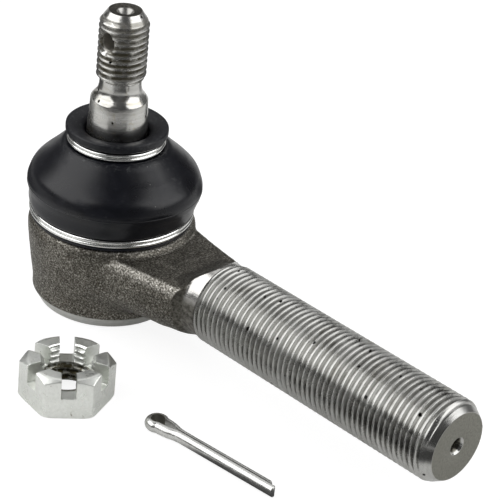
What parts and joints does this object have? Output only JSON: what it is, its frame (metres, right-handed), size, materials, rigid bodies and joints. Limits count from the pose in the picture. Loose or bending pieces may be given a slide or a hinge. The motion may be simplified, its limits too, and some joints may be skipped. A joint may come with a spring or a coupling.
{
  "type": "tie rod end",
  "caption": "Steering tie rod end: forged socket with a threaded shank, ball stud under a rubber boot held by wire rings, with a slotted nut and a split pin.",
  "frame": {"origin": "where the stud axis meets the socket's underside, on the end plate's outer face", "axes": "+Z along the upright stud towards its tip, +X from the stud axis along the threaded shank"},
  "size_m": [0.1322, 0.0686, 0.0751],
  "materials": {
    "forged_steel": "shot-blasted dark forging, with turned shank and rim",
    "ground_steel": "turned and ground, lightly oiled",
    "seat_plastic": "natural bearing plastic",
    "spring_steel": "hardened strip",
    "plate_steel": "plain pressed sheet",
    "boot_rubber": "satin moulded rubber",
    "clamp_wire": "bright zinc-plated wire",
    "nut_zinc": "bright zinc plate",
    "pin_zinc": "bright zinc-plated half-round wire"
  },
  "bodies": {
    "housing": {"housing": "forged_steel", "upper_ball_seat": "seat_plastic", "lower_ball_seat": "seat_plastic", "preload_spring": "spring_steel", "end_plate": "plate_steel", "boot_base": "boot_rubber", "lower_clamp_ring": "clamp_wire"},
    "boot_middle": {"boot_bellows": "boot_rubber"},
    "boot_top": {"boot_collar": "boot_rubber", "upper_clamp_ring": "clamp_wire"},
    "stud": {"ball_stud": "ground_steel"},
    "nut": {"castle_nut": "nut_zinc"},
    "pin": {"split_pin": "pin_zinc"}
  },
  "joints": [
    {"name": "swing_x", "type": "hinge", "parent": "housing", "child": "boot_middle", "pos_m": [0, 0, 0.0142], "axis": [1, 0, 0], "range_deg": [-14, 14], "deforming": ["boot_bellows"]},
    {"name": "swing_y", "type": "hinge", "parent": "boot_middle", "child": "boot_top", "pos_m": [0, 0, 0.0142], "axis": [0, 1, 0], "range_deg": [-14, 14]},
    {"name": "stud_spin", "type": "hinge", "parent": "boot_top", "child": "stud", "pos_m": [0, 0, 0.0142], "axis": [0, 0, 1], "continuous": true},
    {"name": "nut_lift", "type": "slide", "parent": "housing", "child": "nut", "axis": [0, 0, 1], "range_m": [0, 0.1]},
    {"name": "pin_lift", "type": "slide", "parent": "housing", "child": "pin", "axis": [0, 0, 1], "range_m": [0, 0.1]}
  ]
}
